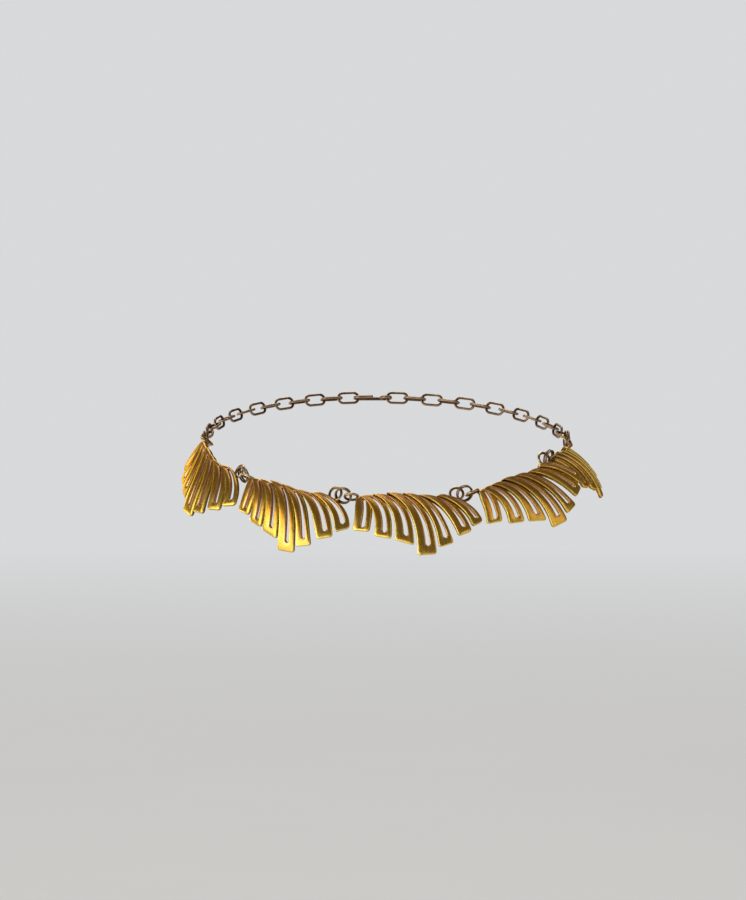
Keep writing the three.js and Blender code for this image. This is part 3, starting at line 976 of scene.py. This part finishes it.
def make_links(route, side_length):
    """Oval links from the last ring on each side to the hook, each held inside the one before."""
    hold = RING_RADIUS - RING_WIRE / 2 - LINK_WIRE / 2 - RING_GAP - RING_SLACK
    lap = LINK_WIRE + LINK_GAP
    hook_lap = (LINK_WIRE + HOOK_WIRE) / 2 + LINK_GAP
    link_pitch = (side_length - hold - lap + hook_lap) / LINKS_PER_SIDE
    link_length = link_pitch + lap + LINK_WIRE
    link_first = hold + (link_pitch + lap) / 2
    radius = (LINK_WIDTH - LINK_WIRE) / 2
    stretch = (link_length - LINK_WIDTH) / 2
    for name, backward in (("link_right", False), ("link_left", True)):
        for i in range(LINKS_PER_SIDE):
            share = (link_first + i * link_pitch) / route.length()
            along, point, facing = chain_turn(route, 1 - share if backward else share, i)
            form = Form()
            place = basis(along, facing.cross(along), facing, point)
            add_ring(form, radius, LINK_WIRE, place, stretch, RING_STATIONS // 4)
            make_piece(form, f"{name}_{i + 1:02d}", "aged_bronze", bronze)


def make_hook(route, side_length):
    start = route.point(side_length / route.length())
    end = route.point(1 - side_length / route.length())
    along = (end - start).normalized()
    facing = square_to(chain_turn(route, 0.5, LINKS_PER_SIDE)[2], along)
    place = basis(along, facing.cross(along), facing, start)
    make_piece(hook_form().moved(place), "clasp_hook", "aged_bronze", bronze)


joints = joint_centres()
frames = [panel_frame(a, b, panel.lean) for a, b, panel in zip(joints, joints[1:], PANELS)]
seats = ring_seats(frames)
route = BackRoute(seats[-1].centre, seats[0].centre)
side_length = (route.length() - HOOK_SPAN) / 2

make_panels(frames)
make_rings(seats)
make_links(route, side_length)
make_hook(route, side_length)

# The floor, in metres
FLOOR_LEVEL = -0.3
FLOOR_RADIUS = 3.4
FLOOR_SIDES = 96
FLOOR_FADE = (0.7, 3.2)
FLOOR_DARK = (0.85, 0.86, 0.87)
FLOOR_LIGHT = (0.89, 0.9, 0.91)
FLOOR_CLOUD_SCALE = 6
FLOOR_ROUGHNESS = 0.75


def floor_material():
    """Pale paper that fades into the background well away from the object."""
    material, nodes, links = node_tree("pale_floor")
    shader = nodes["Principled BSDF"]
    place = nodes.new("ShaderNodeTexCoord").outputs["Object"]
    cloud = add_noise(nodes, links, place, FLOOR_CLOUD_SCALE, CLOUD_NOISE)
    tone = add_mix(nodes, links, cloud, FLOOR_DARK, FLOOR_LIGHT)
    links.new(tone, shader.inputs["Base Color"])
    shader.inputs["Roughness"].default_value = FLOOR_ROUGHNESS
    reach = nodes.new("ShaderNodeVectorMath")
    reach.operation = "LENGTH"
    links.new(place, reach.inputs[0])
    share = add_range(nodes, links, reach.outputs["Value"], FLOOR_FADE, WHOLE)
    clear = nodes.new("ShaderNodeBsdfTransparent")
    either = nodes.new("ShaderNodeMixShader")
    links.new(share, either.inputs[0])
    links.new(shader.outputs[0], either.inputs[1])
    links.new(clear.outputs[0], either.inputs[2])
    links.new(either.outputs[0], nodes["Material Output"].inputs["Surface"])
    return material


bpy.ops.mesh.primitive_circle_add(
    vertices=FLOOR_SIDES, radius=FLOOR_RADIUS, fill_type="NGON", location=(0, 0, FLOOR_LEVEL)
)
floor = bpy.context.object
floor.name = "studio_floor"
floor.data.materials.append(floor_material())
lit_floor = bpy.data.collections.new("lit_floor")
lit_floor.objects.link(floor)

# The lamps, in metres and watts, all aimed at the loop's middle
Lamp = namedtuple("Lamp", "name place size power colour")
LAMPS = (
    Lamp("key", (-0.83, -0.56, 0.08), (1.0, 0.45), 3.4, (1, 0.97, 0.82)),
    Lamp("side", (-0.66, 0.75, 0.2), (0.6, 0.4), 1.2, (1, 0.97, 0.86)),
    Lamp("low_side", (-0.75, 0.33, -0.125), (0.35, 0.2), 0.8, (1, 0.98, 0.8)),
    Lamp("fill", (0.9, -0.5, 0.2), (0.4, 0.6), 0.85, (1, 0.86, 0.58)),
    Lamp("bounce", (-0.3, -0.42, -0.135), (0.7, 0.25), 0.85, (1, 0.98, 0.78)),
    Lamp("top", (0.0, -0.1, 0.9), (0.6, 0.4), 1, (1, 0.97, 0.9)),
)
FLOOR_LAMP = Lamp("floor_wash", (0, 0, 1.6), (1.6, 1.6), 11, (1, 0.99, 0.97))

# The sun, with its spread in degrees
SUN_POWER = 1.25
SUN_SPREAD = 35
SUN_HEADING = (0.15, -0.7, -1)


def turn_to(thing, heading_vector):
    """Turns a lamp or the camera to look along a direction."""
    thing.rotation_mode = "QUATERNION"
    thing.rotation_quaternion = heading_vector.to_track_quat("-Z", "Y")


def add_lamp(lamp, lit):
    """A soft rectangular lamp turned to the object, out of sight itself, for the things it lights."""
    data = bpy.data.lights.new(lamp.name, "AREA")
    data.shape = "RECTANGLE"
    data.size, data.size_y = lamp.size
    data.energy = lamp.power
    data.color = lamp.colour
    thing = bpy.data.objects.new(lamp.name, data)
    thing.location = lamp.place
    turn_to(thing, -Vector(lamp.place))
    thing.visible_camera = False
    thing.light_linking.receiver_collection = lit
    bpy.context.scene.collection.objects.link(thing)


def add_sun():
    data = bpy.data.lights.new("daylight", "SUN")
    data.energy = SUN_POWER
    data.angle = math.radians(SUN_SPREAD)
    sun = bpy.data.objects.new("daylight", data)
    turn_to(sun, Vector(SUN_HEADING))
    bpy.context.scene.collection.objects.link(sun)


for lamp in LAMPS:
    add_lamp(lamp, lit_pieces)
add_lamp(FLOOR_LAMP, lit_floor)
add_sun()

# What the metal reflects, and what is seen behind it: colour and strength
REFLECTED_COLOUR = (0.9, 0.8, 0.66)
REFLECTED_STRENGTH = 0.18
BACKDROP_COLOUR = (0.8, 0.81, 0.82)
BACKDROP_STRENGTH = 0.86


def add_world():
    """A dim warm surround, with a pale backdrop where it is seen directly."""
    world = bpy.data.worlds.new("studio")
    world.use_nodes = True
    nodes, links = world.node_tree.nodes, world.node_tree.links
    dim = nodes["Background"]
    dim.inputs["Color"].default_value = (*REFLECTED_COLOUR, 1)
    dim.inputs["Strength"].default_value = REFLECTED_STRENGTH
    pale = nodes.new("ShaderNodeBackground")
    pale.inputs["Color"].default_value = (*BACKDROP_COLOUR, 1)
    pale.inputs["Strength"].default_value = BACKDROP_STRENGTH
    seen = nodes.new("ShaderNodeLightPath")
    either = nodes.new("ShaderNodeMixShader")
    links.new(seen.outputs["Is Camera Ray"], either.inputs[0])
    links.new(dim.outputs[0], either.inputs[1])
    links.new(pale.outputs[0], either.inputs[2])
    links.new(either.outputs[0], nodes["World Output"].inputs["Surface"])
    bpy.context.scene.world = world
    bpy.context.scene.view_settings.view_transform = "Standard"


# The camera, in front of the loop and a little above it. Its lens and sensor are in millimetres,
# its tilt in degrees, and its distance and aim in metres.
CAMERA_LENS = 127.5
CAMERA_SENSOR = 36
CAMERA_TILT = 3
CAMERA_DISTANCE = 1.1
CAMERA_AIM = (-0.0052, 0, 0)


def add_camera():
    data = bpy.data.cameras.new("camera")
    data.lens = CAMERA_LENS
    data.sensor_width = CAMERA_SENSOR
    camera = bpy.data.objects.new("camera", data)
    bpy.context.scene.collection.objects.link(camera)
    tilt = math.radians(CAMERA_TILT)
    back = Vector((0, -math.cos(tilt), math.sin(tilt)))
    camera.location = Vector(CAMERA_AIM) + back * CAMERA_DISTANCE
    turn_to(camera, -back)
    bpy.context.scene.camera = camera


add_world()
add_camera()
